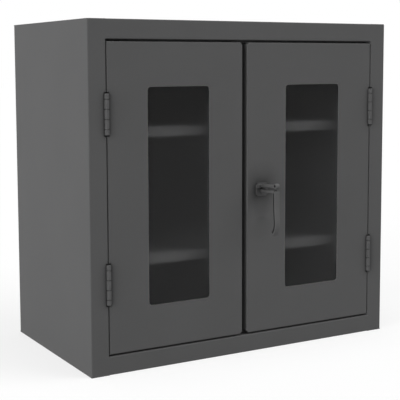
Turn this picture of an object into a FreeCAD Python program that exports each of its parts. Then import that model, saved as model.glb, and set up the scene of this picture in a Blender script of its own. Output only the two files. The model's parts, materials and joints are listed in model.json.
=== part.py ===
import FreeCAD, Part
import math
import os

# A two-door tool cabinet with windowed doors, two shelves and a three-point latch. Millimetres, +Z up.
# The origin is the centre of the flat base. The front faces -Y, and +X is on the right of its user.
# Depths are counted back from the front plane. Doors and hinges are drawn for the left side and mirrored.

# Carcass
width = 914.4
depth = 508.0
height = 880.6
sheet = 1.9
bend = 1.0
stile_width = 48.2
top_rail_height = 48.8
bottom_rail_height = 47.3
stop_gap = 2.0
stop_lip_height = 14.0
back_flange = 19.0
top_corner_relief = 6.0

# Gaps round the doors
side_gap = 2.0
top_gap = 5.6
bottom_gap = 4.4
centre_gap = 14.6

# Doors
right_door_extra = 22.0
door_depth = 25.4
door_lip = 12.0
door_corner_clip = 6.5
window_hinge_margin = 110.7
window_free_margin = 101.0
window_end_margin = 111.75
window_corner_radius = 9.0
stiffener_crown = 34.0
stiffener_foot = 12.0
stiffener_rise = 16.0
stiffener_end_gap = 30.0

# Panes and their retainers
pane_thickness = 3.0
pane_lap = 19.0
retainer_wall = 1.9
retainer_setback = 2.0
retainer_rise = 15.2
side_retainer_end_gap = 46.5
end_retainer_setback = 6.0
end_retainer_end_gap = 13.5
side_nut_inset = 39.0
end_nut_inset = 20.0
nut_flats = 8.0
nut_height = 5.5

# Strip on the left door that closes the gap between the doors
strip_reach_gap = 2.0
strip_end_gap = 3.0

# Hinges
hinge_length = 101.6
hinge_end_distance = 176.6
end_knuckle = 13.9
barrel_radius = 6.35
hinge_pin_radius = 3.1
pin_fit = 0.08
knuckle_gap = 0.4
leaf_reach = 21.5
leaf_fit = 0.3
leaf_start = 4.6
barrel_notch = 1.2
notch_end = 3.2

# Shelves, and the slotted standards and clips that carry them
upper_shelf_level = 612.4
lower_shelf_level = 285.0
shelf_lip = 26.5
shelf_front_depth = 48.0
shelf_back_gap = 6.0
shelf_side_gap = 2.3
standard_width = 16.0
standard_rise = 8.0
standard_wall = 1.5
standard_end_gap = 73.0
front_standard_setback = 95.0
rear_standard_setback = 60.0
slot_height = 14.0
slot_width = 4.0
slot_steps_between_shelves = 4
clip_width = 12.0
clip_wall = 1.5
clip_tab = 14.0
clip_height = 17.0

# Rubber bumpers on the stop lips
bumper_length = 16.0
bumper_height = 8.0
bumper_clearance = 0.3
bumper_inset = 40.0

# Latch plate with its padlock ear
spindle_from_edge = 44.7
spindle_drop = 4.5
rose_width = 37.0
rose_top = 21.0
rose_bottom = 14.0
rose_thickness = 4.0
rose_corner_radius = 4.0
ear_width = 11.0
ear_root_rise = 13.0
ear_hole_rise = 18.3
ear_hole_depth = 71.6
ear_half_height = 4.6
ear_eye_radius = 7.0
ear_bevel = 1.0
padlock_hole_radius = 3.6
root_width = 23.0
root_height = 10.0
root_thickness = 4.0

# Lever
hub_radius = 7.0
hub_length = 12.0
hub_clearance = 0.6
neck_width = 11.0
neck_height = 9.0
neck_start_rise = -1.0
neck_end_rise = 3.5
neck_bevel = 2.2
lever_width = 14.5
lever_thickness = 9.0
lever_front_depth = 75.0
lever_straight = 42.0
lever_flare = 7.5
lever_flare_drop = 98.0
lever_curl = 19.0
lever_curl_drop = 15.0
lever_bend = 7.0
lever_bevel = 2.0

# Spindle, bracket, cam and nut
journal_radius = 6.0
journal_clearance = 0.3
square_side = 8.0
square_fit = 0.05
socket_depth = 8.0
thread_radius = 3.0
thread_length = 6.4
thread_fit = 0.05
bracket_width = 50.0
bracket_gap = 1.8
bracket_wall = 2.5
bracket_overhang = 16.0
bracket_foot = 15.0
cam_gap = 1.1
cam_thickness = 4.0
cam_margin = 3.0
cam_arm_width = 22.0
cam_bevel = 6.0
tongue_width = 20.0
tongue_length = 71.0
tongue_bevel = 5.0
spindle_nut_flats = 10.0
spindle_nut_height = 5.0
drive_radius = 22.0
drive_pin_radius = 4.0
drive_pin_length = 6.0
drive_turn = 90.0
yoke_gap = 2.0
yoke_thickness = 3.0
yoke_wall = 3.0
slot_clearance = 0.75

# Flat locking rods and their guides
rod_width = 12.0
rod_thickness = 4.0
rod_start_gap = 3.0
rod_lap = 14.0
rod_end_gap = 2.3
rod_tip_bevel = 1.5
guide_width = 22.0
guide_wall = 3.0
guide_from_end = 40.0
guide_margin = 6.0
guide_foot = 20.0
guide_clearance = 0.4

# One overrun for every cut, and the least distance that counts as a difference
overrun = 5.0
tiny = 0.01

# Places worked out from the sizes above
half_width = width / 2
front = -depth / 2
back = depth / 2
outer_bend = bend + sheet
opening_edge = half_width - stile_width
opening_top = height - top_rail_height
opening_bottom = bottom_rail_height
stop_depth = door_depth + stop_gap
stop_top = opening_top - stop_lip_height
stop_bottom = opening_bottom + stop_lip_height
door_hinge_edge = opening_edge - side_gap
left_door_width = door_hinge_edge - (centre_gap + right_door_extra) / 2
right_door_width = left_door_width + right_door_extra
left_door_free_edge = -door_hinge_edge + left_door_width
right_door_free_edge = door_hinge_edge - right_door_width
door_top = opening_top - top_gap
door_bottom = opening_bottom + bottom_gap
door_centre = (door_top + door_bottom) / 2
hinge_axis_x = opening_edge - side_gap / 2
window_left = -door_hinge_edge + window_hinge_margin
window_right = -door_hinge_edge + left_door_width - window_free_margin
window_top = door_top - window_end_margin
window_bottom = door_bottom + window_end_margin
spindle_x = right_door_free_edge + spindle_from_edge
spindle_z = door_centre - spindle_drop
web_face = half_width - sheet
standard_face = web_face - standard_rise
cam_depth = stop_depth + cam_gap
cam_reach = drive_radius + drive_pin_radius + cam_margin
bracket_depth = cam_depth - bracket_gap
pin_offset = drive_radius * math.cos(math.radians(drive_turn / 2))
pin_rise = drive_radius * math.sin(math.radians(drive_turn / 2))
yoke_depth = cam_depth + cam_thickness + yoke_gap
rod_offset = (drive_radius + pin_offset) / 2
rod_start = cam_reach + rod_start_gap
rod_front_depth = yoke_depth - rod_thickness
guide_depth = yoke_depth + guide_margin


def placed(axis, along, u, v):
    """Point at a distance along one axis, with u and v on the other two in X, Y, Z order."""
    if axis == "X":
        return FreeCAD.Vector(along, u, v)
    if axis == "Y":
        return FreeCAD.Vector(u, along, v)
    return FreeCAD.Vector(u, v, along)


def corner_points(before, corner, after, radius):
    """Start, middle and end of the tangent arc at a corner, or the bare corner where it has no radius."""
    if radius == 0:
        return corner, None, corner
    backward = (before - corner).normalize()
    forward = (after - corner).normalize()
    half_angle = backward.getAngle(forward) / 2
    reach = radius / math.tan(half_angle)
    inward = (backward + forward).normalize()
    middle = corner + inward * (radius / math.sin(half_angle) - radius)
    return corner + backward * reach, middle, corner + forward * reach


def closed_wire(points):
    """Closed wire through (point, radius) pairs, with tangent arcs at the rounded corners."""
    corners = []
    for index, (corner, radius) in enumerate(points):
        after = points[(index + 1) % len(points)][0]
        corners.append(corner_points(points[index - 1][0], corner, after, radius))
    edges = []
    for index, (start, middle, end) in enumerate(corners):
        if middle is not None:
            edges.append(Part.Arc(start, middle, end).toShape())
        next_start = corners[(index + 1) % len(corners)][0]
        if end.distanceToPoint(next_start) > tiny:
            edges.append(Part.makeLine(end, next_start))
    return Part.Wire(edges)


def prism(outline, axis, low, high):
    """Solid between two levels of an axis, with an outline of (u, v) or (u, v, corner radius) across it."""
    points = []
    for u, v, *radius in outline:
        points.append((placed(axis, low, u, v), radius[0] if radius else 0))
    return Part.Face(closed_wire(points)).extrude(placed(axis, high - low, 0, 0))


def rectangle(u_low, u_high, v_low, v_high, radius=0):
    """Outline of a rectangle with equal corner radii."""
    corners = [(u_low, v_low), (u_high, v_low), (u_high, v_high), (u_low, v_high)]
    return [(u, v, radius) for u, v in corners]


def block(x_low, x_high, y_low, y_high, z_low, z_high):
    """Box between two corners."""
    return prism(rectangle(x_low, x_high, y_low, y_high), "Z", z_low, z_high)


def bar(axis, radius, u, v, low, high):
    """Round bar along an axis."""
    return Part.makeCylinder(radius, high - low, placed(axis, low, u, v), placed(axis, 1, 0, 0))


def hexagon(axis, flats, u, v, low, high):
    """Six-sided bar along an axis, from its size across the flats."""
    reach = flats / 2 / math.cos(math.pi / 6)
    outline = []
    for corner in range(6):
        angle = corner * math.pi / 3
        outline.append((u + reach * math.cos(angle), v + reach * math.sin(angle)))
    return prism(outline, axis, low, high)


def bent_sheet(path, wall, inside_radius):
    """Outline of a bent sheet: the path is one face, and the other lies one wall to the left of its travel.

    An inside radius of 0 folds the sheet sharp.
    """
    near_face = []
    far_face = []
    for index, (u, v) in enumerate(path):
        before = path[max(index - 1, 0)]
        after = path[min(index + 1, len(path) - 1)]
        arriving = FreeCAD.Vector(u - before[0], v - before[1], 0)
        leaving = FreeCAD.Vector(after[0] - u, after[1] - v, 0)
        if index == 0:
            arriving = leaving
        if index == len(path) - 1:
            leaving = arriving
        arriving = FreeCAD.Vector(arriving).normalize()
        leaving = FreeCAD.Vector(leaving).normalize()
        turn = arriving.x * leaving.y - arriving.y * leaving.x
        share = wall / (1 + arriving.dot(leaving))
        far_u = u - (arriving.y + leaving.y) * share
        far_v = v + (arriving.x + leaving.x) * share
        near_radius = 0
        far_radius = 0
        if inside_radius > 0 and turn > tiny:
            near_radius = inside_radius + wall
            far_radius = inside_radius
        if inside_radius > 0 and turn < -tiny:
            near_radius = inside_radius
            far_radius = inside_radius + wall
        near_face.append((u, v, near_radius))
        far_face.append((far_u, far_v, far_radius))
    return near_face + far_face[::-1]


def edges_at(shape, axis, level):
    """Edges that lie wholly at one level along an axis."""
    picked = []
    for edge in shape.Edges:
        box = edge.BoundBox
        low = {"X": box.XMin, "Y": box.YMin, "Z": box.ZMin}[axis]
        high = {"X": box.XMax, "Y": box.YMax, "Z": box.ZMax}[axis]
        if abs(low - level) < tiny and abs(high - level) < tiny:
            picked.append(edge)
    return picked


def mirrored(shape):
    """The same shape on the other side of the cabinet."""
    return shape.mirror(FreeCAD.Vector(0, 0, 0), FreeCAD.Vector(1, 0, 0))


def fused(shapes):
    """One solid from several that meet."""
    return shapes[0].multiFuse(shapes[1:]).removeSplitter()


def hinge_levels():
    """Heights of the two hinges' middles."""
    return [door_bottom + hinge_end_distance, door_top - hinge_end_distance]


def barrel_notch_at(level):
    """Square notch round one hinge barrel, cut from the stile and from the door's edge."""
    side = barrel_radius + barrel_notch
    reach = hinge_length / 2 + notch_end
    return block(-hinge_axis_x - side, -hinge_axis_x + side, front - overrun, front + side,
                 level - reach, level + reach)


def leaf_clearance(level, outer_x, inner_x):
    """Notch in a return flange that takes a hinge leaf."""
    reach = hinge_length / 2 + leaf_fit
    return block(outer_x, inner_x, front, front + leaf_reach + leaf_fit, level - reach, level + reach)


def side_panel():
    """Left side, folded round the front into a stile and round the back into a flange.

    The stile's return runs along the opening only, and its flat ends meet the rails.
    """
    path = [
        (-half_width + back_flange, back),
        (-half_width, back),
        (-half_width, front),
        (-opening_edge, front),
        (-opening_edge, front + stop_depth),
    ]
    panel = prism(bent_sheet(path, sheet, bend), "Z", sheet, height - sheet)
    cuts = []
    for level in hinge_levels():
        cuts.append(barrel_notch_at(level))
        cuts.append(leaf_clearance(level, -opening_edge - sheet - tiny, -opening_edge + tiny))
    fold = -opening_edge - outer_bend
    flat_ends = []
    for low, high in ((sheet, opening_bottom), (opening_top, height - sheet)):
        cuts.append(block(fold, -opening_edge + overrun, front - overrun, front + stop_depth + overrun,
                          low, high))
        flat_ends.append(block(fold, -opening_edge, front, front + sheet, low, high))
    return fused([panel.cut(cuts)] + flat_ends)


def top_panel():
    """Top sheet over the sides, folded into the top rail, its return and a stop lip.

    Its front corners are relieved where the sides' folds meet them.
    """
    path = [
        (back, height),
        (front, height),
        (front, opening_top),
        (front + stop_depth, opening_top),
        (front + stop_depth, stop_top),
    ]
    rail = prism(bent_sheet(path, sheet, bend), "X", -opening_edge, opening_edge)
    cover = block(-half_width, half_width, front + outer_bend, back, height - sheet, height)
    reach = half_width - top_corner_relief
    ends = []
    for low, high in ((-reach, -opening_edge), (opening_edge, reach)):
        ends.append(block(low, high, front, front + outer_bend, height - sheet, height))
    return fused([rail, cover] + ends)


def bottom_panel():
    """Bottom sheet under the sides, folded into the bottom rail, its return and a stop lip."""
    path = [
        (front + stop_depth, stop_bottom),
        (front + stop_depth, opening_bottom),
        (front, opening_bottom),
        (front, 0),
        (back, 0),
    ]
    rail = prism(bent_sheet(path, sheet, bend), "X", -opening_edge, opening_edge)
    floor = block(-half_width, half_width, front + outer_bend, back, 0, sheet)
    ends = []
    for low, high in ((-half_width, -opening_edge), (opening_edge, half_width)):
        ends.append(block(low, high, front, front + outer_bend, 0, sheet))
    return fused([rail, floor] + ends)


def back_panel():
    """Back sheet, held inside the side panels' back flanges."""
    reach = web_face - bend
    return block(-reach, reach, back - 2 * sheet, back - sheet, sheet, height - sheet)


def slot_levels(low, high):
    """Middles of a standard's slots, at an even pitch that suits both shelves and clear of its ends."""
    pitch = (upper_shelf_level - lower_shelf_level) / slot_steps_between_shelves
    start = lower_shelf_level - shelf_lip + clip_height / 2
    first = start - pitch * int((start - low - slot_height) / pitch)
    count = int((high - slot_height - first) / pitch) + 1
    return [first + number * pitch for number in range(count)]


def standard(middle):
    """Slotted channel on the left side wall that shelf clips hook into."""
    near = middle - standard_width / 2
    far = middle + standard_width / 2
    path = [(-web_face, near), (-standard_face, near), (-standard_face, far), (-web_face, far)]
    low = standard_end_gap
    high = height - standard_end_gap
    channel = prism(bent_sheet(path, standard_wall, 0), "Z", low, high)
    slots = []
    for level in slot_levels(low, high):
        slots.append(block(
            -standard_face - 2 * standard_wall, -standard_face + overrun,
            middle - slot_width / 2, middle + slot_width / 2,
            level - slot_height / 2, level + slot_height / 2))
    return channel.cut(slots)


def shelf(level):
    """Shelf pan with a turned-down lip on all four sides."""
    reach = standard_face - shelf_side_gap
    near = front + shelf_front_depth
    far = back - 2 * sheet - shelf_back_gap
    outside = block(-reach, reach, near, far, level - shelf_lip, level)
    outside = outside.makeFillet(outer_bend, edges_at(outside, "Z", level))
    inside = block(-reach + sheet, reach - sheet, near + sheet, far - sheet,
                   level - shelf_lip - overrun, level - sheet)
    return outside.cut(inside)


def shelf_clips():
    """Four clips under each shelf: a plate on the standard and a tab under the shelf's lip."""
    clips = []
    for level in (upper_shelf_level, lower_shelf_level):
        seat = level - shelf_lip
        for middle in (front + front_standard_setback, back - rear_standard_setback):
            outline = [
                (-standard_face, seat - clip_wall),
                (-standard_face + clip_tab, seat - clip_wall),
                (-standard_face + clip_tab, seat),
                (-standard_face + clip_wall, seat),
                (-standard_face + clip_wall, seat + clip_height),
                (-standard_face, seat + clip_height),
            ]
            clip = prism(outline, "Y", middle - clip_width / 2, middle + clip_width / 2)
            clips.append(clip)
            clips.append(mirrored(clip))
    return Part.makeCompound(clips)


def stop_bumpers():
    """Rubber pads on the stop lips, which the doors close against."""
    pads = []
    face = front + door_depth + bumper_clearance
    doors = ((-door_hinge_edge, left_door_free_edge), (right_door_free_edge, door_hinge_edge))
    for level in ((stop_top + opening_top) / 2, (stop_bottom + opening_bottom) / 2):
        for left_edge, right_edge in doors:
            for middle in (left_edge + bumper_inset, right_edge - bumper_inset):
                pads.append(block(middle - bumper_length / 2, middle + bumper_length / 2,
                                  face, front + stop_depth,
                                  level - bumper_height / 2, level + bumper_height / 2))
    return Part.makeCompound(pads)


def door_outline(door_width, inset):
    """Door outline in front view, square by the hinges and clipped at the free corners."""
    hinge_side = -door_hinge_edge + inset
    free_side = -door_hinge_edge + door_width - inset
    low = door_bottom + inset
    high = door_top - inset
    clip = door_corner_clip - inset * (2 - math.sqrt(2))
    return [
        (hinge_side, low), (free_side - clip, low), (free_side, low + clip),
        (free_side, high - clip), (free_side - clip, high), (hinge_side, high),
    ]


def door_pan(door_width):
    """Left-hand door: a pan with flanges all round, lips on its two sides and a window."""
    skin_back = front + sheet
    rear = front + door_depth
    outside = prism(door_outline(door_width, 0), "Y", front, rear)
    outside = outside.makeFillet(outer_bend, edges_at(outside, "Y", front))
    inside = prism(door_outline(door_width, sheet), "Y", skin_back, rear + overrun)
    pan = outside.cut(inside)
    hinge_side = -door_hinge_edge
    free_side = hinge_side + door_width
    lip_reach = sheet + door_lip
    low = door_bottom + door_corner_clip
    high = door_top - door_corner_clip
    lips = []
    for start, end in ((hinge_side, hinge_side + lip_reach), (free_side - lip_reach, free_side)):
        lips.append(block(start, end, rear - sheet, rear, low, high))
    pan = fused([pan] + lips)
    opening = rectangle(window_left, window_right, window_bottom, window_top, window_corner_radius)
    cuts = [prism(opening, "Y", front - overrun, skin_back + overrun)]
    for level in hinge_levels():
        cuts.append(barrel_notch_at(level))
        cuts.append(leaf_clearance(level, hinge_side - tiny, hinge_side + sheet + tiny))
    return pan.cut(cuts)


def right_door_pan():
    """Right-hand door, with the hole that the latch spindle turns in."""
    pan = mirrored(door_pan(right_door_width))
    skin_back = front + sheet
    hole = bar("Y", journal_radius + journal_clearance, spindle_x, spindle_z,
               front - overrun, skin_back + overrun)
    return pan.cut(hole)


def pane():
    """Clear plastic pane behind the left door's window."""
    start = front + sheet
    return block(window_left - pane_lap, window_right + pane_lap, start, start + pane_thickness,
                 window_bottom - pane_lap, window_top + pane_lap)


def side_retainer(on_free_side):
    """Angle strip that clamps one upright edge of the left door's pane."""
    edge, outward = (window_right, 1) if on_free_side else (window_left, -1)
    near = edge + outward * retainer_setback
    far = edge + outward * pane_lap
    seat = front + sheet + pane_thickness
    rise = seat + retainer_rise
    outline = [
        (near, rise), (near, seat), (far, seat), (far, seat + retainer_wall),
        (near + outward * retainer_wall, seat + retainer_wall), (near + outward * retainer_wall, rise),
    ]
    return prism(outline, "Z", window_bottom + side_retainer_end_gap, window_top - side_retainer_end_gap)


def end_retainer(at_top):
    """Flat strip that clamps the top or bottom edge of the left door's pane."""
    edge, outward = (window_top, 1) if at_top else (window_bottom, -1)
    levels = sorted((edge + outward * end_retainer_setback, edge + outward * pane_lap))
    seat = front + sheet + pane_thickness
    return block(window_left + end_retainer_end_gap, window_right - end_retainer_end_gap,
                 seat, seat + retainer_wall, levels[0], levels[1])


def nut_places():
    """Middles of the left door's pane nuts, as (x, z)."""
    side_inset = (pane_lap + retainer_setback + retainer_wall) / 2
    end_inset = (pane_lap + end_retainer_setback) / 2
    low = window_bottom + side_retainer_end_gap + side_nut_inset
    high = window_top - side_retainer_end_gap - side_nut_inset
    places = []
    for x in (window_left - side_inset, window_right + side_inset):
        for z in (low, (low + high) / 2, high):
            places.append((x, z))
    inset = end_retainer_end_gap + end_nut_inset
    for x in (window_left + inset, window_right - inset):
        for z in (window_bottom - end_inset, window_top + end_inset):
            places.append((x, z))
    return places


def pane_nuts():
    """Closed nuts that hold the left door's retainers down."""
    start = front + sheet + pane_thickness + retainer_wall
    nuts = []
    for x, z in nut_places():
        nuts.append(hexagon("Y", nut_flats, x, z, start, start + nut_height))
    return Part.makeCompound(nuts)


def door_stiffener():
    """Hat channel welded inside the left door, between the hinge side and the pane."""
    seat = front + sheet
    free_space = window_hinge_margin - pane_lap - sheet - door_lip
    middle = -door_hinge_edge + sheet + door_lip + free_space / 2
    crown = stiffener_crown / 2
    foot = crown + stiffener_foot
    path = [
        (middle + foot, seat), (middle + crown, seat), (middle + crown, seat + stiffener_rise - sheet),
        (middle - crown, seat + stiffener_rise - sheet), (middle - crown, seat), (middle - foot, seat),
    ]
    outline = bent_sheet(path[::-1], sheet, 0)
    return prism(outline, "Z", door_bottom + stiffener_end_gap, door_top - stiffener_end_gap)


def centre_strip():
    """Flat strip behind the left door's free edge, which closes the gap between the doors."""
    start = front + door_depth
    return block(left_door_free_edge - sheet - door_lip, right_door_free_edge - strip_reach_gap,
                 start, start + sheet, stop_bottom + strip_end_gap, stop_top - strip_end_gap)


def knuckle_spans(level):
    """Low and high ends of the five knuckles of the hinge at one level."""
    middle_knuckle = (hinge_length - 2 * end_knuckle) / 3
    lengths = [end_knuckle, middle_knuckle, middle_knuckle, middle_knuckle, end_knuckle]
    spans = []
    low = level - hinge_length / 2
    for number, length in enumerate(lengths):
        start = low + (knuckle_gap / 2 if number > 0 else 0)
        end = low + length - (knuckle_gap / 2 if number < len(lengths) - 1 else 0)
        spans.append((start, end))
        low += length
    return spans


def hinge_leaf(level, outward, knuckle_numbers):
    """Leaf on one side of the gap, with knuckles round the pin. Outward is -1 for the frame's leaf."""
    near = -hinge_axis_x + outward * side_gap / 2
    far = near + outward * sheet
    low_x, high_x = sorted((near, far))
    plate_start = front + barrel_radius + leaf_fit
    reach = hinge_length / 2
    bore_radius = hinge_pin_radius + pin_fit
    pieces = [block(low_x, high_x, plate_start, front + leaf_reach, level - reach, level + reach)]
    bores = []
    spans = knuckle_spans(level)
    for number in knuckle_numbers:
        low, high = spans[number]
        pieces.append(block(low_x, high_x, front + leaf_start, plate_start, low, high))
        pieces.append(bar("Z", barrel_radius, -hinge_axis_x, front, low, high))
        bores.append(bar("Z", bore_radius, -hinge_axis_x, front, low - overrun, high + overrun))
    return fused(pieces).cut(bores)


def frame_leaves():
    """Both hinge leaves welded into the stile, with the end knuckles and the middle one."""
    return Part.makeCompound([hinge_leaf(level, -1, (0, 2, 4)) for level in hinge_levels()])


def door_leaves():
    """Both hinge leaves welded into the door's flange, with the other two knuckles."""
    return Part.makeCompound([hinge_leaf(level, 1, (1, 3)) for level in hinge_levels()])


def hinge_pin(level):
    """Hinge pin, flush with the end knuckles."""
    reach = hinge_length / 2
    return bar("Z", hinge_pin_radius, -hinge_axis_x, front, level - reach, level + reach)


def padlock_ear():
    """Fixed arm with an eye for a padlock, above the lever's neck."""
    root = (front - rose_thickness, spindle_z + ear_root_rise)
    eye = (front - ear_hole_depth, spindle_z + ear_hole_rise)
    outline = [
        (root[0], root[1] - ear_half_height), (eye[0], eye[1] - ear_half_height),
        (eye[0], eye[1] + ear_half_height), (root[0], root[1] + ear_half_height),
    ]
    low = spindle_x - ear_width / 2
    high = spindle_x + ear_width / 2
    arm = prism(outline, "X", low, high)
    arm = arm.makeChamfer(ear_bevel, [edge for edge in arm.Edges if edge.Length > ear_hole_depth / 2])
    arm = fused([arm, bar("X", ear_eye_radius, eye[0], eye[1], low, high)])
    return arm.cut(bar("X", padlock_hole_radius, eye[0], eye[1], low - overrun, high + overrun))


def latch_plate():
    """Cast plate on the right door's face, with the spindle's bearing and the padlock ear."""
    face = front - rose_thickness
    outline = rectangle(spindle_x - rose_width / 2, spindle_x + rose_width / 2,
                        spindle_z - rose_bottom, spindle_z + rose_top, rose_corner_radius)
    plate = prism(outline, "Y", face, front)
    root_middle = spindle_z + ear_root_rise + ear_half_height - root_height / 2
    root_side = spindle_x + ear_width / 2
    root = block(root_side - root_width, root_side, face - root_thickness, face,
                 root_middle - root_height / 2, root_middle + root_height / 2)
    bearing = bar("Y", journal_radius + pin_fit, spindle_x, spindle_z, face - overrun, front + overrun)
    return fused([plate, root, padlock_ear()]).cut(bearing)


def lever_blade():
    """The lever's hanging grip, flared out and curled back at its end."""
    face = front - lever_front_depth
    top = spindle_z + neck_end_rise + neck_height / 2
    path = [
        (face, top),
        (face, spindle_z - lever_straight),
        (face - lever_flare, spindle_z - lever_flare_drop),
        (face - lever_flare + lever_curl, spindle_z - lever_flare_drop - lever_curl_drop),
    ]
    outline = bent_sheet(path, lever_thickness, lever_bend)
    low = spindle_x - lever_width / 2
    high = spindle_x + lever_width / 2
    blade = prism(outline, "X", low, high)
    return blade.makeChamfer(lever_bevel, edges_at(blade, "X", low) + edges_at(blade, "X", high))


def lever_neck():
    """Arm from the hub out to the top of the grip."""
    near = front - rose_thickness - hub_clearance - hub_length
    far = front - lever_front_depth + lever_thickness / 2
    half = neck_height / 2
    start = spindle_z + neck_start_rise
    end = spindle_z + neck_end_rise
    outline = [(near + hub_length / 2, start - half), (far, end - half),
               (far, end + half), (near + hub_length / 2, start + half)]
    low = spindle_x - neck_width / 2
    high = spindle_x + neck_width / 2
    neck = prism(outline, "X", low, high)
    return neck.makeChamfer(neck_bevel, edges_at(neck, "X", low) + edges_at(neck, "X", high))


def lever():
    """Cast lever: hub with a square socket, neck and grip."""
    seat = front - rose_thickness - hub_clearance
    hub = bar("Y", hub_radius, spindle_x, spindle_z, seat - hub_length, seat)
    reach = square_side / 2 + square_fit
    socket = block(spindle_x - reach, spindle_x + reach, seat - socket_depth, seat + overrun,
                   spindle_z - reach, spindle_z + reach)
    return fused([hub, lever_neck(), lever_blade()]).cut(socket)


def spindle():
    """Turned spindle: square front end, round journal, square cam seat and threaded tail."""
    seat = front - rose_thickness - hub_clearance
    cam_front = front + cam_depth
    cam_back = cam_front + cam_thickness
    half = square_side / 2
    pieces = [
        block(spindle_x - half, spindle_x + half, seat - socket_depth + square_fit, seat,
              spindle_z - half, spindle_z + half),
        bar("Y", journal_radius, spindle_x, spindle_z, seat, cam_front),
        block(spindle_x - half, spindle_x + half, cam_front, cam_back, spindle_z - half, spindle_z + half),
        bar("Y", thread_radius, spindle_x, spindle_z, cam_back, cam_back + thread_length),
    ]
    return fused(pieces)


def latch_bracket():
    """Hat bracket inside the right door that carries the spindle's inner end."""
    seat = front + sheet
    crown = front + bracket_depth - bracket_wall
    half = cam_reach + bracket_overhang
    path = [
        (seat, spindle_z - half - bracket_foot), (seat, spindle_z - half), (crown, spindle_z - half),
        (crown, spindle_z + half), (seat, spindle_z + half), (seat, spindle_z + half + bracket_foot),
    ]
    outline = bent_sheet(path[::-1], bracket_wall, 0)
    hat = prism(outline, "X", spindle_x - bracket_width / 2, spindle_x + bracket_width / 2)
    bearing = bar("Y", journal_radius + pin_fit, spindle_x, spindle_z,
                  crown - overrun, front + bracket_depth + overrun)
    return hat.cut(bearing)


def cam_plate():
    """Cam on the spindle: an arm out to each drive pin, and the tongue that swings behind the left door."""
    low = front + cam_depth
    high = low + cam_thickness
    arm_half = cam_arm_width / 2
    right = pin_offset / drive_radius
    down = pin_rise / drive_radius
    arm = []
    for along, across in ((1, 1), (1, -1), (-1, -1), (-1, 1)):
        ends = [(cam_reach - cam_bevel, arm_half), (cam_reach, arm_half - cam_bevel)]
        for reach, spread in ends if along * across > 0 else ends[::-1]:
            arm.append((spindle_x + along * reach * right + across * spread * down,
                        spindle_z + across * spread * right - along * reach * down))
    half = tongue_width / 2
    tip = spindle_z + tongue_length
    tongue = [
        (spindle_x - half, spindle_z), (spindle_x + half, spindle_z),
        (spindle_x + half, tip - tongue_bevel), (spindle_x + half - tongue_bevel, tip),
        (spindle_x - half + tongue_bevel, tip), (spindle_x - half, tip - tongue_bevel),
    ]
    reach = square_side / 2 + square_fit
    hole = block(spindle_x - reach, spindle_x + reach, low - overrun, high + overrun,
                 spindle_z - reach, spindle_z + reach)
    return fused([prism(arm, "Y", low, high), prism(tongue, "Y", low, high)]).cut(hole)


def drive_pins():
    """Two pins riveted to the back of the cam, one for each rod."""
    low = front + cam_depth + cam_thickness
    pins = []
    for side in (-1, 1):
        pins.append(bar("Y", drive_pin_radius, spindle_x + side * pin_offset, spindle_z - side * pin_rise,
                        low, low + drive_pin_length))
    return Part.makeCompound(pins)


def spindle_nut():
    """Nut on the spindle's threaded tail."""
    low = front + cam_depth + cam_thickness
    high = low + spindle_nut_height
    nut = hexagon("Y", spindle_nut_flats, spindle_x, spindle_z, low, high)
    bore = bar("Y", thread_radius + thread_fit, spindle_x, spindle_z, low - overrun, high + overrun)
    return nut.cut(bore)


def rod_yoke(side):
    """Slotted plate that turns the pin's swing into the rod's travel. Side is 1 for the top rod."""
    low = front + yoke_depth
    high = low + yoke_thickness
    half_slot = drive_pin_radius + slot_clearance
    slot_near = pin_offset - half_slot
    slot_far = drive_radius + half_slot
    middle = spindle_z - side * pin_rise
    outer_end = spindle_z + side * (rod_start + rod_lap)
    inner_end = middle - side * (half_slot + yoke_wall)
    x_near = spindle_x + side * (slot_near - yoke_wall)
    x_far = spindle_x + side * (slot_far + yoke_wall)
    plate = prism(rectangle(x_near, x_far, inner_end, outer_end), "Y", low, high)
    slot = rectangle(spindle_x + side * slot_near, spindle_x + side * slot_far,
                     middle - half_slot, middle + half_slot)
    return plate.cut(prism(slot, "Y", low - overrun, high + overrun))


def locking_rod(side):
    """Flat bar from the face of its yoke to just short of the stop lip, bevelled at the tip."""
    start = spindle_z + side * rod_start
    tip = stop_top - rod_end_gap if side > 0 else stop_bottom + rod_end_gap
    near = front + rod_front_depth
    far = front + yoke_depth
    outline = [
        (near, start), (far, start), (far, tip),
        (near + rod_tip_bevel, tip), (near, tip - side * rod_tip_bevel),
    ]
    middle = spindle_x + side * rod_offset
    return prism(outline, "X", middle - rod_width / 2, middle + rod_width / 2)


def rod_guide(side):
    """Bracket near one end of the right door that a rod slides through."""
    middle = spindle_x + side * rod_offset
    seat = front + sheet
    level = door_top - guide_from_end if side > 0 else door_bottom + guide_from_end
    path = [(seat, level - side * guide_foot), (seat, level), (front + guide_depth, level)]
    if side > 0:
        path = path[::-1]
    half = guide_width / 2
    bracket = prism(bent_sheet(path, guide_wall, 0), "X", middle - half, middle + half)
    reach = rod_width / 2 + guide_clearance
    slot = block(middle - reach, middle + reach,
                 front + rod_front_depth - guide_clearance, front + yoke_depth + guide_clearance,
                 level - guide_wall - overrun, level + guide_wall + overrun)
    return bracket.cut(slot)


def both_sides(parts, name, shape):
    """Adds a left-hand piece and its mirror image."""
    parts["left_" + name] = shape
    parts["right_" + name] = mirrored(shape)


def carcass():
    """Named pieces of the fixed cabinet."""
    parts = {"top_panel": top_panel(), "bottom_panel": bottom_panel(), "back_panel": back_panel()}
    both_sides(parts, "side_panel", side_panel())
    both_sides(parts, "front_standard", standard(front + front_standard_setback))
    both_sides(parts, "rear_standard", standard(back - rear_standard_setback))
    parts["upper_shelf"] = shelf(upper_shelf_level)
    parts["lower_shelf"] = shelf(lower_shelf_level)
    parts["shelf_clips"] = shelf_clips()
    parts["stop_bumpers"] = stop_bumpers()
    return parts


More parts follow.
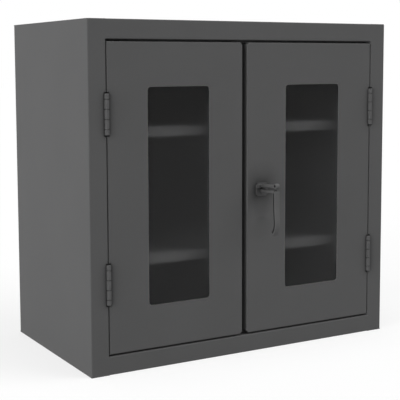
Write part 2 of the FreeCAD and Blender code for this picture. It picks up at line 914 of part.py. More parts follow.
def hinges():
    """Named leaves and pins of the four hinges."""
    parts = {}
    both_sides(parts, "frame_leaves", frame_leaves())
    both_sides(parts, "door_leaves", door_leaves())
    for place, level in zip(("lower", "upper"), hinge_levels()):
        both_sides(parts, place + "_hinge_pin", hinge_pin(level))
    return parts


def doors():
    """Named pieces of the two doors, apart from the latch."""
    parts = {"left_door_panel": door_pan(left_door_width), "right_door_panel": right_door_pan()}
    both_sides(parts, "door_stiffener", door_stiffener())
    both_sides(parts, "pane", pane())
    both_sides(parts, "pane_retainer_hinge_side", side_retainer(False))
    both_sides(parts, "pane_retainer_free_side", side_retainer(True))
    both_sides(parts, "pane_retainer_top", end_retainer(True))
    both_sides(parts, "pane_retainer_bottom", end_retainer(False))
    both_sides(parts, "pane_nuts", pane_nuts())
    parts["centre_strip"] = centre_strip()
    return parts


def latch():
    """Named pieces of the three-point latch on the right door."""
    return {
        "latch_plate": latch_plate(),
        "lever": lever(),
        "spindle": spindle(),
        "latch_bracket": latch_bracket(),
        "cam_plate": cam_plate(),
        "drive_pins": drive_pins(),
        "spindle_nut": spindle_nut(),
        "top_rod": locking_rod(1),
        "top_rod_yoke": rod_yoke(1),
        "top_rod_guide": rod_guide(1),
        "bottom_rod": locking_rod(-1),
        "bottom_rod_yoke": rod_yoke(-1),
        "bottom_rod_guide": rod_guide(-1),
    }


def export_all():
    """Writes every named piece to its own file."""
    os.makedirs("parts", exist_ok=True)
    for parts in (carcass(), hinges(), doors(), latch()):
        for name, shape in parts.items():
            shape.exportStep("parts/" + name + ".step")


export_all()
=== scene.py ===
import json
import math

import bmesh
import bpy
from mathutils import Euler, Matrix, Vector


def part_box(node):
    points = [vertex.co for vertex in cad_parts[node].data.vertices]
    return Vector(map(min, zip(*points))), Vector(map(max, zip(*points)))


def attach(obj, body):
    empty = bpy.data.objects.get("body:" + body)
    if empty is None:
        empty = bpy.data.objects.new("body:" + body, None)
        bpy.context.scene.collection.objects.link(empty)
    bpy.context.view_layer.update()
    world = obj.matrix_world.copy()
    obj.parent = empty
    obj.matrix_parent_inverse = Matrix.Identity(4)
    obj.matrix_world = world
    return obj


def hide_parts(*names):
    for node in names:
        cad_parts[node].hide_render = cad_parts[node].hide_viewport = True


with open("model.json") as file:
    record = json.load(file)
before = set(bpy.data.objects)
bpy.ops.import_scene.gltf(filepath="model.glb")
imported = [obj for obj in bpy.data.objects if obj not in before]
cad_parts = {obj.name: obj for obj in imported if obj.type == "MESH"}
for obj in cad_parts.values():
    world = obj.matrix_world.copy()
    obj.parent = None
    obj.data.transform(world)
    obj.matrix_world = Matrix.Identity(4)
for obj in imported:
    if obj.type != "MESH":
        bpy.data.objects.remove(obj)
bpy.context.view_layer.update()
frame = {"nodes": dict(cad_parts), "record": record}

# Blender works in metres, so sizes are written as millimetres times mm.
mm = 0.001

# Paint, metal, plastic and rubber, as linear colours
PAINT_COLOUR = (0.097, 0.097, 0.0978)
CAST_COLOUR = (0.094, 0.094, 0.0948)
ZINC_COLOUR = (0.52, 0.525, 0.53)
RUBBER_COLOUR = (0.018, 0.018, 0.018)
PANE_TINT = (0.973, 0.973, 0.974)
MILK_COLOUR = (0.8, 0.8, 0.8)
WHITE = (1.0, 1.0, 1.0)

# A coat of paint: mottling, grain scale, height of its orange peel, roughness from and to, specular level
SHEET_PAINT = (0.05, 420.0, 0.12 * mm, 0.62, 0.74, 0.12)
CAST_PAINT = (0.05, 700.0, 0.08 * mm, 0.55, 0.66, 0.2)

# Patterns: scales per metre, shares of the colour at the dark and light ends, and roughness from and to
MOTTLE_SCALE = 7.0
PEEL_TO_GRAIN_SCALE = 1.6
CRYSTAL_SCALE = 240.0
ROLLING_SCALES = (1800.0, 1800.0, 90.0)
ZINC_TONE_SHARES = (0.88, 1.1)
ZINC_ROUGHNESS = (0.30, 0.46)
BLOOM_SCALE = 160.0
PORE_SCALE = 1400.0
RUBBER_TONE_SHARES = (0.8, 1.5)
RUBBER_ROUGHNESS = (0.68, 0.86)
# Noise stays mostly between these values: the first two for colours and the others for other numbers
COLOUR_SPAN = (0.3, 0.7)
NUMBER_SPAN = (0.25, 0.75)

# Panes: haze, blur, share of gloss and its roughness, refraction, and how fast they close at grazing angles
HAZE_SCALE = 14.0
PANE_BLUR = (0.28, 0.34)
PANE_GLOSS_SHARE = 0.12
PANE_GLOSS_ROUGHNESS = 0.12
PANE_IOR = 1.45
PANE_GRAZING_POWER = 5.0
# The panes are rubbed more towards their lower ends: height in metres and share of milkiness there
MILK_LOW_END = (0.17, 0.0118)
MILK_HIGH_END = (0.70, 0.0055)
MILK_VARIATION = (0.8, 1.2)

# Camera, fitted to the corners and edges of the cabinet in the photograph
CAMERA_PLACE = (-1428.71 * mm, -2469.06 * mm, 772.50 * mm)
CAMERA_YAW = 30.0448
CAMERA_PITCH = 5.7422
CAMERA_ROLL = 0.1742
CAMERA_LENS = 90.174
CAMERA_SHIFT = -0.09
SENSOR_WIDTH = 36.0
FARTHEST_SEEN = 100.0

# Lights, with angles in degrees, and the floor, with its size in metres
DOME_STRENGTH = 0.30
SUNS = {
    "right_key": {"strength": 1.46, "azimuth": 56.0, "elevation": 38.0, "spread": 45.0},
    "left_fill": {"strength": 0.82, "azimuth": -60.0, "elevation": 8.0, "spread": 45.0},
    "side_light": {"strength": 2.65, "azimuth": -84.0, "elevation": 6.0, "spread": 40.0},
    "top_light": {"strength": 1.00, "azimuth": 0.0, "elevation": 90.0, "spread": 30.0},
}
FLOOR_SEEN_COLOUR = 0.95
FLOOR_BOUNCE_COLOUR = 0.40
FLOOR_OWN_WHITE = 0.70
FLOOR_SIZE = 60.0

# Latch plate, padlock ear and lever
ROSE_THICKNESS = 4.0 * mm
ROSE_RADIUS = 4.0 * mm
ROSE_TOP = 21.0 * mm
ROOT_WIDTH = 23.0 * mm
ROOT_HEIGHT = 10.0 * mm
ROOT_THICKNESS = 4.0 * mm
EAR_WIDTH = 11.0 * mm
EAR_HALF_HEIGHT = 4.6 * mm
EAR_ROOT_RISE = 13.0 * mm
EAR_HOLE_RISE = 18.3 * mm
EAR_HOLE_DEPTH = 71.6 * mm
EAR_EYE_RADIUS = 7.0 * mm
EAR_WAIST_SHARE = 0.10
EAR_SINK = 1.0 * mm
PADLOCK_HOLE_RADIUS = 3.6 * mm
BEARING_RADIUS = 6.08 * mm
HUB_RADIUS = 7.0 * mm
HUB_LENGTH = 12.0 * mm
HUB_CLEARANCE = 0.6 * mm
NECK_WIDTH = 11.0 * mm
NECK_HEIGHT = 9.0 * mm
NECK_START_RISE = -1.0 * mm
NECK_END_RISE = 3.5 * mm
NECK_WAIST_SHARE = 0.08
ARM_STEPS = 8
GRIP_WIDTH = 15.5 * mm
GRIP_THICKNESS = 12.0 * mm
GRIP_DEPTH = 75.0 * mm
GRIP_STRAIGHT = 42.0 * mm
GRIP_FLARE = 6.4 * mm
GRIP_FLARE_DROP = 98.0 * mm
GRIP_CURL = 16.5 * mm
GRIP_CURL_DROP = 12.0 * mm
GRIP_TIP = 3.5 * mm
GRIP_STEPS = 14
GRIP_TIP_LEAST_SHARE = 0.2
# The grip's H-section: outer flange, web and inner flange, as shares of width, of thickness and of offset
GRIP_SECTION_SHARES = ((1.0, 0.30, -0.70), (0.36, 1.0, 0.0), (0.85, 0.22, 0.78))
CAST_VOXEL = 0.55 * mm
CAST_SMOOTHING = 6
CAST_SMOOTHING_SHARE = 0.5

# Hinges
END_KNUCKLE = 13.9 * mm
KNUCKLE_GAP = 0.8 * mm
KNUCKLE_CHAMFER = 1.0 * mm
BARREL_RADIUS = 6.35 * mm
PIN_BORE_RADIUS = 3.18 * mm
LEAF_THICKNESS = 1.9 * mm
LEAF_START = 4.6 * mm
LEAF_PLATE_START = 6.65 * mm
LEAF_REACH = 21.5 * mm
LEAF_BEVEL = 0.3 * mm
DOOR_SIDE_GAP = 2.0 * mm

# Nuts with their washers and stud ends, and rubber bumpers
WASHER_RADIUS = 4.4 * mm
WASHER_THICKNESS = 0.8 * mm
NUT_FLATS = 7.0 * mm
NUT_HEIGHT = 3.2 * mm
NUT_CHAMFER = 0.5 * mm
STUD_RADIUS = 1.9 * mm
STUD_CHAMFER = 0.4 * mm
BUMPER_ROUNDING = 2.2 * mm
BUMPER_ROUNDING_SHARE = 0.4

# Painted shade: paint darkened by ambient occlusion near other surfaces, where shade falls. How far a
# neighbour counts, how strongly it tells on each paint, and the darkest share of the fronts
PAINTED_SHADE_REACH = 68.0 * mm
PAINTED_SHADE_SAMPLES = 16
FRONT_PAINTED_SHADE = 3.9
LATCH_PAINTED_SHADE = 1.3
RETAINER_PAINTED_SHADE = 1.5
HINGE_PAINTED_SHADE = 0.5
FRONT_PAINTED_SHADE_LEAST_SHARE = 0.52
# A face counts as a front from the first to the second value of its normal's Y
FRONT_NORMALS = (-0.8, -0.95)
# The floor is a neighbour too, so the fronts have no painted shade below the first height and all of it above
# the second
PAINTED_SHADE_HEIGHTS = (60.0 * mm, 130.0 * mm)

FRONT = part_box("right_door_panel")[0].y
MERGE_DISTANCE = 0.001 * mm
SHARPEST_SMOOTH = math.radians(35)
UP = Vector((0, 0, 1))


def box_middle(node):
    """Middle of a CAD node's box."""
    low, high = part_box(node)
    return (low + high) / 2


def new_material(name):
    """An empty node material, and its node tree."""
    material = bpy.data.materials.new(name)
    material.use_nodes = True
    material.node_tree.nodes.clear()
    return material, material.node_tree


def add_node(tree, kind, settings=None, **inputs):
    """A shader node with its settings and input values or links set. An input's name has _ for a space."""
    made = tree.nodes.new("ShaderNode" + kind)
    for name, value in (settings or {}).items():
        setattr(made, name, value)
    for name, value in inputs.items():
        socket = made.inputs[name.replace("_", " ")]
        if isinstance(value, bpy.types.NodeSocket):
            tree.links.new(value, socket)
        else:
            socket.default_value = value
    return made


def shade(colour, share=1.0):
    """A colour with its lightness multiplied, as RGBA."""
    return tuple(channel * share for channel in colour) + (1.0,)


def two_tone(tree, factor, colour, dark_share, light_share):
    """Colour that runs from darker to lighter as a pattern's factor goes over its usual span."""
    ramp = add_node(tree, "ValToRGB", Fac=factor)
    for element, place, share in zip(ramp.color_ramp.elements, COLOUR_SPAN, (dark_share, light_share)):
        element.position = place
        element.color = shade(colour, share)
    return ramp.outputs["Color"]


def mapped(tree, value, from_low, from_high, to_low=0.0, to_high=1.0):
    """Number that runs from to_low to to_high as the value goes from from_low to from_high."""
    made = add_node(tree, "MapRange", None, Value=value, From_Min=from_low, From_Max=from_high, To_Min=to_low,
                    To_Max=to_high)
    return made.outputs["Result"]


def ranged(tree, factor, low, high):
    """Number that runs from low to high as a pattern's factor goes over its usual span."""
    return mapped(tree, factor, *NUMBER_SPAN, low, high)


def calculated(tree, operation, first, second):
    """A Math node's result. The second value is a number or a socket."""
    made = add_node(tree, "Math", {"operation": operation})
    tree.links.new(first, made.inputs[0])
    if isinstance(second, bpy.types.NodeSocket):
        tree.links.new(second, made.inputs[1])
    else:
        made.inputs[1].default_value = second
    return made.outputs["Value"]


def noise(tree, place, scale, detail=2.0, roughness=0.5):
    """Noise over the object's own coordinates."""
    made = add_node(tree, "TexNoise", None, Vector=place, Scale=scale, Detail=detail, Roughness=roughness)
    return made.outputs["Fac"]


def blended(tree, share, first, second):
    """Two factors mixed, with a share of the second."""
    made = add_node(tree, "Mix", {"data_type": "FLOAT"})
    for number, value in ((0, share), (2, first), (3, second)):
        if isinstance(value, bpy.types.NodeSocket):
            tree.links.new(value, made.inputs[number])
        else:
            made.inputs[number].default_value = value
    return made.outputs[0]


def with_painted_shade(tree, colour, power, front_only):
    """A colour darkened where other surfaces stand close: painted shade from ambient occlusion."""
    near = add_node(tree, "AmbientOcclusion", {"samples": PAINTED_SHADE_SAMPLES}, Distance=PAINTED_SHADE_REACH)
    share = calculated(tree, "POWER", near.outputs["AO"], power)
    if front_only:
        share = calculated(tree, "MAXIMUM", share, FRONT_PAINTED_SHADE_LEAST_SHARE)
        place = add_node(tree, "TexCoord")
        facing = add_node(tree, "SeparateXYZ", None, Vector=place.outputs["Normal"]).outputs["Y"]
        height = add_node(tree, "SeparateXYZ", None, Vector=place.outputs["Object"]).outputs["Z"]
        counted = calculated(tree, "MULTIPLY", mapped(tree, facing, *FRONT_NORMALS),
                             mapped(tree, height, *PAINTED_SHADE_HEIGHTS))
        share = blended(tree, counted, 1.0, share)
    made = add_node(tree, "VectorMath", {"operation": "SCALE"}, Scale=share)
    tree.links.new(colour, made.inputs[0])
    return made.outputs["Vector"]


def coated(name, colour, coat, painted_shade_power=0.0, front_only=False):
    """Paint with broad mottling, a fine grain, an orange-peel surface and perhaps painted shade near other
    surfaces.
    """
    mottle, grain_scale, bump_height, rough_low, rough_high, specular = coat
    material, tree = new_material(name)
    place = add_node(tree, "TexCoord").outputs["Object"]
    broad = noise(tree, place, MOTTLE_SCALE, detail=3.0)
    grain = noise(tree, place, grain_scale, detail=3.0, roughness=0.6)
    peel = noise(tree, place, grain_scale * PEEL_TO_GRAIN_SCALE)
    mixed = blended(tree, share=0.6, first=broad, second=grain)
    tone = two_tone(tree, mixed, colour, 1 - mottle, 1 + mottle)
    if painted_shade_power > 0:
        tone = with_painted_shade(tree, tone, painted_shade_power, front_only)
    bump = add_node(tree, "Bump", None, Height=peel, Strength=0.5, Distance=bump_height)
    surface = add_node(tree, "BsdfPrincipled", None, Base_Color=tone, Normal=bump.outputs["Normal"],
                       Roughness=ranged(tree, grain, rough_low, rough_high))
    surface.inputs["Specular IOR Level"].default_value = specular
    add_node(tree, "OutputMaterial", None, Surface=surface.outputs["BSDF"])
    return material


def zinc_plate():
    """Bright zinc on rolled steel, with a faint crystal pattern and rolling lines."""
    material, tree = new_material("zinc_steel")
    place = add_node(tree, "TexCoord").outputs["Object"]
    crystals = add_node(tree, "TexVoronoi", None, Vector=place, Scale=CRYSTAL_SCALE)
    crystal = add_node(tree, "SeparateColor", None, Color=crystals.outputs["Color"]).outputs[0]
    stretched = add_node(tree, "Mapping", None, Vector=place, Scale=ROLLING_SCALES).outputs["Vector"]
    lines = noise(tree, stretched, scale=1.0, detail=3.0)
    mixed = blended(tree, share=0.5, first=crystal, second=lines)
    tone = two_tone(tree, mixed, ZINC_COLOUR, *ZINC_TONE_SHARES)
    bump = add_node(tree, "Bump", None, Height=lines, Strength=0.25, Distance=0.05 * mm)
    surface = add_node(tree, "BsdfPrincipled", None, Base_Color=tone, Metallic=1.0,
                       Roughness=ranged(tree, lines, *ZINC_ROUGHNESS), Normal=bump.outputs["Normal"])
    add_node(tree, "OutputMaterial", None, Surface=surface.outputs["BSDF"])
    return material


def mixed_shader(tree, factor, first, second):
    """Socket of two shaders mixed by a number or a socket."""
    made = add_node(tree, "MixShader", None, Fac=factor)
    tree.links.new(first, made.inputs[1])
    tree.links.new(second, made.inputs[2])
    return made.outputs["Shader"]


def hazy_pane():
    """Clear plastic, finely rubbed so that it blurs what is behind it, a little milky and a little glossy."""
    material, tree = new_material("clear_plastic")
    place = add_node(tree, "TexCoord").outputs["Object"]
    haze = noise(tree, place, HAZE_SCALE, detail=4.0)
    blur = add_node(tree, "BsdfRefraction", None, Roughness=ranged(tree, haze, *PANE_BLUR), IOR=PANE_IOR,
                    Color=shade(PANE_TINT))
    milk = add_node(tree, "BsdfDiffuse", None, Color=shade(MILK_COLOUR))
    height = add_node(tree, "SeparateXYZ", None, Vector=place).outputs["Z"]
    (low_height, low_share), (high_height, high_share) = MILK_LOW_END, MILK_HIGH_END
    level = mapped(tree, height, low_height, high_height, low_share, high_share)
    milkiness = calculated(tree, "MULTIPLY", level, ranged(tree, haze, *MILK_VARIATION))
    body = mixed_shader(tree, milkiness, blur.outputs["BSDF"], milk.outputs["BSDF"])
    gloss = add_node(tree, "BsdfGlossy", None, Roughness=PANE_GLOSS_ROUGHNESS, Color=shade(WHITE))
    edge = add_node(tree, "Fresnel", None, IOR=PANE_IOR)
    share = calculated(tree, "MULTIPLY", edge.outputs["Fac"], PANE_GLOSS_SHARE)
    plastic = mixed_shader(tree, share, body, gloss.outputs["BSDF"])
    clear = add_node(tree, "BsdfTransparent", None, Color=shade(PANE_TINT))
    facing = add_node(tree, "LayerWeight", None, Blend=0.5).outputs["Facing"]
    grazing = calculated(tree, "POWER", facing, PANE_GRAZING_POWER)
    passed = mixed_shader(tree, grazing, clear.outputs["BSDF"], gloss.outputs["BSDF"])
    path = add_node(tree, "LightPath").outputs
    passing = calculated(tree, "MAXIMUM", path["Is Shadow Ray"], path["Is Diffuse Ray"])
    add_node(tree, "OutputMaterial", None, Surface=mixed_shader(tree, passing, plastic, passed))
    return material


def black_rubber():
    """Matt rubber with a slight bloom."""
    material, tree = new_material("rubber")
    place = add_node(tree, "TexCoord").outputs["Object"]
    bloom = noise(tree, place, BLOOM_SCALE, detail=4.0)
    pores = noise(tree, place, PORE_SCALE)
    bump = add_node(tree, "Bump", None, Height=pores, Strength=0.4, Distance=0.08 * mm)
    surface = add_node(tree, "BsdfPrincipled", None, Normal=bump.outputs["Normal"],
                       Base_Color=two_tone(tree, bloom, RUBBER_COLOUR, *RUBBER_TONE_SHARES),
                       Roughness=ranged(tree, bloom, *RUBBER_ROUGHNESS))
    add_node(tree, "OutputMaterial", None, Surface=surface.outputs["BSDF"])
    return material


def piece_from(mesh_builder, name, body, slot_name, paint=None):
    """Object from a filled bmesh, riding on a body, with its slot's material or a paint of its own."""
    mesh = bpy.data.meshes.new(name)
    mesh_builder.normal_update()
    mesh_builder.to_mesh(mesh)
    mesh_builder.free()
    made = bpy.data.objects.new(name, mesh)
    bpy.context.scene.collection.objects.link(made)
    mesh.materials.append(materials[paint or slot_name])
    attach(made, body)
    return made


def rounded_section(half_width, half_height, sides=40, power=5.0):
    """Points of a squarish oval, as (across, up)."""
    points = []
    for number in range(sides):
        angle = 2 * math.pi * number / sides
        across = math.copysign(abs(math.cos(angle)) ** (2 / power), math.cos(angle))
        up = math.copysign(abs(math.sin(angle)) ** (2 / power), math.sin(angle))
        points.append((half_width * across, half_height * up))
    return points


def loft(builder, stations):
    """Closed skin over stations of (middle, direction of up, half width along X, half height)."""
    rings = []
    for middle, up, half_width, half_height in stations:
        ring = []
        for across, rise in rounded_section(half_width, half_height):
            ring.append(builder.verts.new(middle + Vector((across, 0, 0)) + up * rise))
        rings.append(ring)
    for ring, after in zip(rings, rings[1:]):
        for index in range(len(ring)):
            beside = (index + 1) % len(ring)
            builder.faces.new((ring[index], ring[beside], after[beside], after[index]))
    builder.faces.new(rings[0][::-1])
    builder.faces.new(rings[-1])


def rounded_run(points, half_width, half_height, tip_length):
    """Stations along a line of points in the YZ plane, drawn in to round tips at both ends."""
    lengths = [0.0]
    for before, after in zip(points, points[1:]):
        lengths.append(lengths[-1] + (after - before).length)
    total = lengths[-1]
    stations = []
    for index, (point, run) in enumerate(zip(points, lengths)):
        travel = (points[min(index + 1, len(points) - 1)] - points[max(index - 1, 0)]).normalized()
        up = Vector((0, -travel.z, travel.y))
        from_tip = min(run, total - run) / tip_length
        share = max(math.sqrt(1 - (1 - min(from_tip, 1.0)) ** 2), GRIP_TIP_LEAST_SHARE)
        stations.append((point, up, half_width * share, half_height * share))
    return stations


def smooth_line(corners, steps):
    """Points of the quadratic B-spline through the middles of a line's runs."""
    ends = [corners[0]] + [(a + b) / 2 for a, b in zip(corners[1:-1], corners[2:-1])] + [corners[-1]]
    points = []
    for index, control in enumerate(corners[1:-1]):
        start, end = ends[index], ends[index + 1]
        for step in range(steps):
            share = step / steps
            points.append(start * (1 - share) ** 2 + control * 2 * share * (1 - share) + end * share ** 2)
    return points + [corners[-1]]


def add_bar(builder, axis, radius, middle, length, sides=48):
    """Closed round bar along X or Y."""
    turn = {"X": Euler((0, math.pi / 2, 0)), "Y": Euler((math.pi / 2, 0, 0))}[axis]
    matrix = Matrix.Translation(middle) @ turn.to_matrix().to_4x4()
    bmesh.ops.create_cone(builder, cap_ends=True, segments=sides, radius1=radius, radius2=radius,
                          depth=length, matrix=matrix)


def add_block(builder, low, high, rounding=0.0, segments=1):
    """Closed box between two corners, with its edges broken or rounded."""
    size = high - low
    matrix = Matrix.Translation((low + high) / 2) @ Matrix.Diagonal((*size, 1))
    corners = bmesh.ops.create_cube(builder, size=1.0, matrix=matrix)["verts"]
    if rounding > 0:
        edges = {edge for corner in corners for edge in corner.link_edges}
        bmesh.ops.bevel(builder, geom=list(edges), offset=rounding, segments=segments, affect="EDGES")


def turned(builder, profile, middle, axis, sides=48, closed=False):
    """Skin turned round an axis along Y or Z, from a profile of (radius, place along the axis)."""
    rings = []
    for radius, along in profile:
        ring = []
        for number in range(sides if radius > 0 else 1):
            angle = 2 * math.pi * number / sides
            u = radius * math.cos(angle)
            v = radius * math.sin(angle)
            offset = (u, v, along) if axis == "Z" else (u, along, v)
            ring.append(builder.verts.new(middle + Vector(offset)))
        rings.append(ring)
    afters = rings[1:] + rings[:1] if closed else rings[1:]
    for ring, after in zip(rings, afters):
        for index in range(sides):
            beside = index + 1
            corners = [ring[index % len(ring)], ring[beside % len(ring)],
                       after[beside % len(after)], after[index % len(after)]]
            builder.faces.new(list(dict.fromkeys(corners)))


def loose_boxes(node):
    """Boxes of the separate solids of a CAD node, as (lowest corner, highest corner)."""
    builder = bmesh.new()
    builder.from_mesh(frame["nodes"][node].data)
    bmesh.ops.remove_doubles(builder, verts=builder.verts, dist=MERGE_DISTANCE)
    waiting = set(builder.verts)
    boxes = []
    while waiting:
        found = {waiting.pop()}
        unvisited = list(found)
        while unvisited:
            vertex = unvisited.pop()
            for edge in vertex.link_edges:
                other = edge.other_vert(vertex)
                if other not in found:
                    found.add(other)
                    unvisited.append(other)
        waiting -= found
        places = [vertex.co for vertex in found]
        boxes.append((Vector([min(place[i] for place in places) for i in range(3)]),
                      Vector([max(place[i] for place in places) for i in range(3)])))
    builder.free()
    return boxes


def apply_modifiers(made):
    """Turns a piece's modifiers into its mesh."""
    evaluated = made.evaluated_get(bpy.context.evaluated_depsgraph_get())
    mesh = bpy.data.meshes.new_from_object(evaluated)
    made.modifiers.clear()
    made.data = mesh


def cast_together(made):
    """Joins a piece's overlapping forms into one soft-edged casting."""
    remesh = made.modifiers.new("joined", "REMESH")
    remesh.mode = "VOXEL"
    remesh.voxel_size = CAST_VOXEL
    smooth = made.modifiers.new("softened", "SMOOTH")
    smooth.factor = CAST_SMOOTHING_SHARE
    smooth.iterations = CAST_SMOOTHING
    apply_modifiers(made)
    for polygon in made.data.polygons:
        polygon.use_smooth = True


def bored(made, axis, radius, middle, length):
    """Cuts a round hole through a piece."""
    builder = bmesh.new()
    add_bar(builder, axis, radius, middle, length, sides=64)
    mesh = bpy.data.meshes.new("cutter")
    builder.to_mesh(mesh)
    builder.free()
    cutter = bpy.data.objects.new("cutter", mesh)
    bpy.context.scene.collection.objects.link(cutter)
    cut = made.modifiers.new("bore", "BOOLEAN")
    cut.operation = "DIFFERENCE"
    cut.solver = "EXACT"
    cut.object = cutter
    apply_modifiers(made)
    bpy.data.objects.remove(cutter)


def latch_plate():
    """Cast plate on the door with the padlock ear, soft at its edges as a casting is."""
    low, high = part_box("latch_plate")
    face = FRONT - ROSE_THICKNESS
    spindle = box_middle("spindle")
    builder = bmesh.new()
    rose_low = Vector((low.x, face, low.z))
    rose_high = Vector((high.x, FRONT, spindle.z + ROSE_TOP))
    add_block(builder, rose_low, rose_high)
    corner_edges = [edge for edge in builder.edges
                    if abs(edge.verts[0].co.y - edge.verts[1].co.y) > ROSE_THICKNESS / 2]
    bmesh.ops.bevel(builder, geom=corner_edges, offset=ROSE_RADIUS, segments=6, affect="EDGES")
    root_middle = spindle.z + EAR_ROOT_RISE + EAR_HALF_HEIGHT - ROOT_HEIGHT / 2
    ear_side = spindle.x + EAR_WIDTH / 2
    add_block(builder, Vector((ear_side - ROOT_WIDTH, face - ROOT_THICKNESS, root_middle - ROOT_HEIGHT / 2)),
              Vector((ear_side, face, root_middle + ROOT_HEIGHT / 2)))
    root = Vector((spindle.x, face + EAR_SINK, spindle.z + EAR_ROOT_RISE))
    eye = Vector((spindle.x, FRONT - EAR_HOLE_DEPTH, spindle.z + EAR_HOLE_RISE))
    stations = []
    for step in range(ARM_STEPS + 1):
        share = step / ARM_STEPS
        waist = 1 - EAR_WAIST_SHARE * math.sin(math.pi * share)
        stations.append((root.lerp(eye, share), UP, EAR_WIDTH / 2, EAR_HALF_HEIGHT * waist))
    loft(builder, stations)
    add_bar(builder, "X", EAR_EYE_RADIUS, eye, EAR_WIDTH)
    # The latch paint is darkened by painted shade near other surfaces.
    made = piece_from(builder, "latch_plate_cast", "right_door", "latch_paint")
    cast_together(made)
    bored(made, "X", PADLOCK_HOLE_RADIUS, eye, 2 * EAR_WIDTH)
    bored(made, "Y", BEARING_RADIUS, Vector((spindle.x, face, spindle.z)), 4 * ROSE_THICKNESS)
    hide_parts("latch_plate")


def lever():
    """Cast lever: a round hub, a neck out to the grip, and the grip with its flare and curled end."""
    spindle = box_middle("spindle")
    seat = FRONT - ROSE_THICKNESS - HUB_CLEARANCE
    builder = bmesh.new()
    add_bar(builder, "Y", HUB_RADIUS, Vector((spindle.x, seat - HUB_LENGTH / 2, spindle.z)), HUB_LENGTH)
    grip_line = FRONT - GRIP_DEPTH + GRIP_THICKNESS / 2
    neck_start = Vector((spindle.x, seat - HUB_LENGTH / 3, spindle.z + NECK_START_RISE))
    neck_end = Vector((spindle.x, grip_line, spindle.z + NECK_END_RISE))
    stations = []
    for step in range(ARM_STEPS + 1):
        share = step / ARM_STEPS
        waist = 1 - NECK_WAIST_SHARE * math.sin(math.pi * share)
        middle = neck_start.lerp(neck_end, share)
        stations.append((middle, UP, NECK_WIDTH / 2 * waist, NECK_HEIGHT / 2 * waist))
    loft(builder, stations)
    top = spindle.z + NECK_END_RISE + NECK_HEIGHT / 2
    flare_end = Vector((spindle.x, grip_line - GRIP_FLARE, spindle.z - GRIP_FLARE_DROP))
    corners = [
        Vector((spindle.x, grip_line, top)),
        Vector((spindle.x, grip_line, spindle.z - GRIP_STRAIGHT / 2)),
        Vector((spindle.x, grip_line, spindle.z - GRIP_STRAIGHT)),
        flare_end,
        flare_end + Vector((0, GRIP_CURL, -GRIP_CURL_DROP)),
    ]
    grip = smooth_line(corners, GRIP_STEPS)
    run = rounded_run(grip, GRIP_WIDTH / 2, GRIP_THICKNESS / 2, GRIP_TIP)
    for width_share, depth_share, offset_share in GRIP_SECTION_SHARES:
        layer = []
        for middle, up, half_width, half_height in run:
            layer.append((middle + up * half_height * offset_share, up,
                          half_width * width_share, half_height * depth_share))
        loft(builder, layer)
    # The latch paint is darkened by painted shade near other surfaces.
    made = piece_from(builder, "lever_cast", "handle", "latch_paint")
    cast_together(made)
    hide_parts("lever")


def knuckle_spans(low, high):
    """Ends of a hinge's five knuckles, with a gap between each two."""
    step = (high - low - 2 * END_KNUCKLE) / 3
    first, last = low + END_KNUCKLE, high - END_KNUCKLE
    joints = [first, first + step, last - step, last]
    starts = [low] + [joint + KNUCKLE_GAP / 2 for joint in joints]
    ends = [joint - KNUCKLE_GAP / 2 for joint in joints] + [high]
    return list(zip(starts, ends))


def hinge_leaves(side, kind, body, outward, numbers):
    """Leaves of one side's two hinges, with rolled knuckles chamfered at their ends."""
    builder = bmesh.new()
    for place in ("lower", "upper"):
        pin_low, pin_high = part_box(f"{side}_{place}_hinge_pin")
        axis = (pin_low + pin_high) / 2
        near = axis.x + outward * DOOR_SIDE_GAP / 2
        low_x, high_x = sorted((near, near + outward * LEAF_THICKNESS))
        add_block(builder, Vector((low_x, FRONT + LEAF_PLATE_START, pin_low.z)),
                  Vector((high_x, FRONT + LEAF_REACH, pin_high.z)), LEAF_BEVEL)
        spans = knuckle_spans(pin_low.z, pin_high.z)
        for number in numbers:
            low, high = spans[number]
            add_block(builder, Vector((low_x, FRONT + LEAF_START, low)),
                      Vector((high_x, FRONT + LEAF_PLATE_START + LEAF_BEVEL, high)))
            profile = [
                (PIN_BORE_RADIUS, low), (BARREL_RADIUS - KNUCKLE_CHAMFER, low),
                (BARREL_RADIUS, low + KNUCKLE_CHAMFER), (BARREL_RADIUS, high - KNUCKLE_CHAMFER),
                (BARREL_RADIUS - KNUCKLE_CHAMFER, high), (PIN_BORE_RADIUS, high),
            ]
            turned(builder, profile, Vector((axis.x, axis.y, 0)), "Z", closed=True)
    name = f"{side}_{kind}_leaves"
    bmesh.ops.recalc_face_normals(builder, faces=builder.faces)
    # The hinge leaves take a paint darkened by painted shade near other surfaces.
    made = piece_from(builder, name + "_rolled", body, "grey_paint", "hinge_paint_with_painted_shade")
    smooth_by_angle(made)
    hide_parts(name)


def smooth_by_angle(made):
    """Smooth shading that keeps sharp edges."""
    for polygon in made.data.polygons:
        polygon.use_smooth = True
    made.data.set_sharp_from_angle(angle=SHARPEST_SMOOTH)


